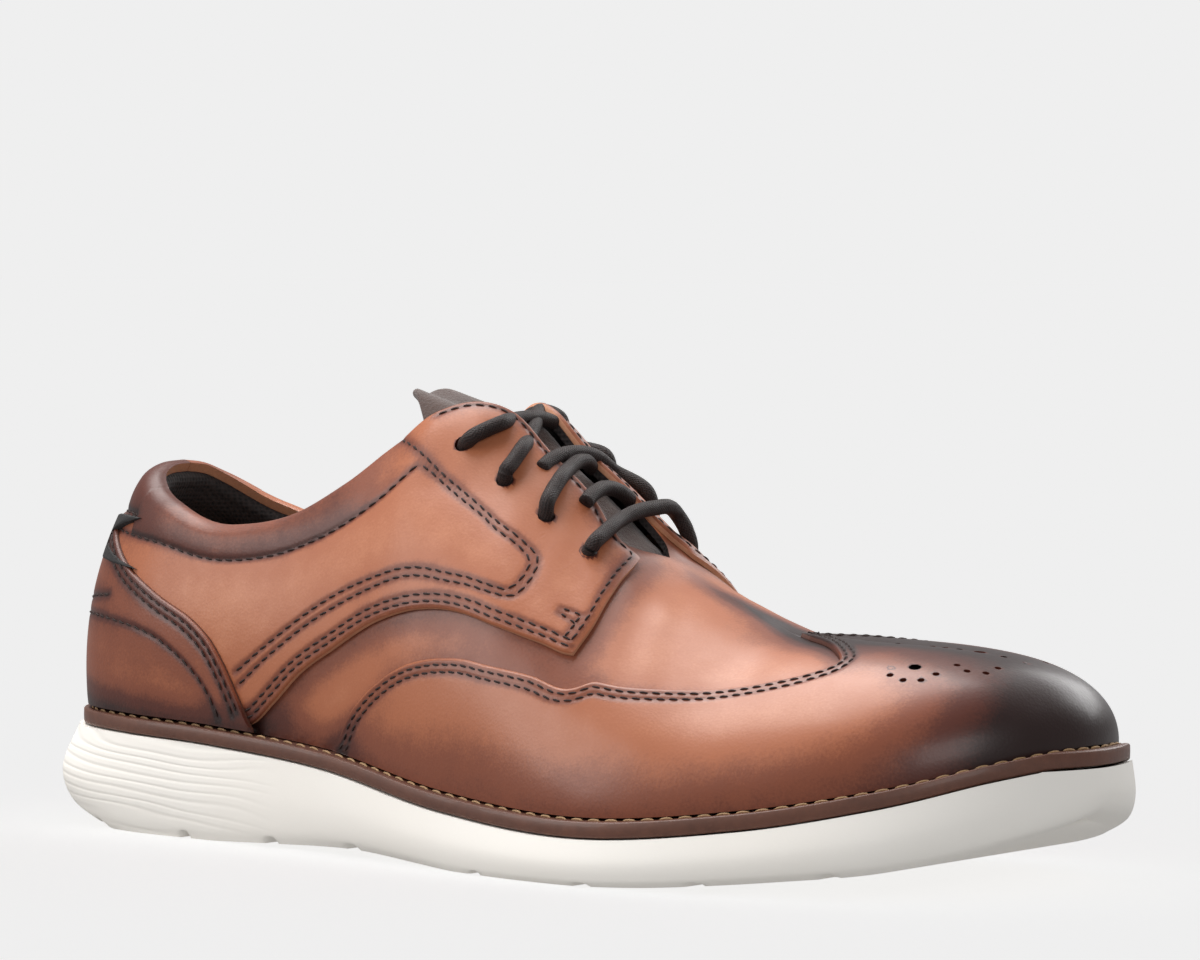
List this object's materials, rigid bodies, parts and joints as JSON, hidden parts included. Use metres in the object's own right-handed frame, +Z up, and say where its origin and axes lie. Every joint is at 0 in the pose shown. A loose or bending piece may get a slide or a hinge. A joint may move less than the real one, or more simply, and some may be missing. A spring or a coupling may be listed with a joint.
{
  "type": "brogue shoe",
  "caption": "Right wing-tip brogue shoe: open-laced leather upper with padded collar, stitched welt and pale rubber sole with toe spring.",
  "frame": {"origin": "middle of the outsole's outline, on the ground", "axes": "+X towards the toe, +Y towards the inner side of the right foot, +Z up"},
  "size_m": [0.302, 0.1113, 0.1151],
  "materials": {
    "outsole": "off-white foam rubber with fine wavy grain",
    "welt": "dark brown stitched welt",
    "insole": "smooth tan lining leather",
    "upper": "burnished tan calf leather",
    "wing_cap": "dark burnished toe leather with punched holes",
    "heel_counter": "burnished brown leather",
    "quarter": "burnished tan leather with dark stitching",
    "tongue": "dark brown suede",
    "laces": "waxed round woven cord",
    "side_tab": "plain black woven tape"
  },
  "bodies": {
    "root": {"outsole": "outsole", "welt": "welt", "insole": "insole", "upper": "upper", "wing_cap": "wing_cap", "heel_counter": "heel_counter", "quarter_outer": "quarter", "quarter_inner": "quarter", "tongue": "tongue", "laces": "laces", "side_tab": "side_tab"}
  },
  "joints": []
}
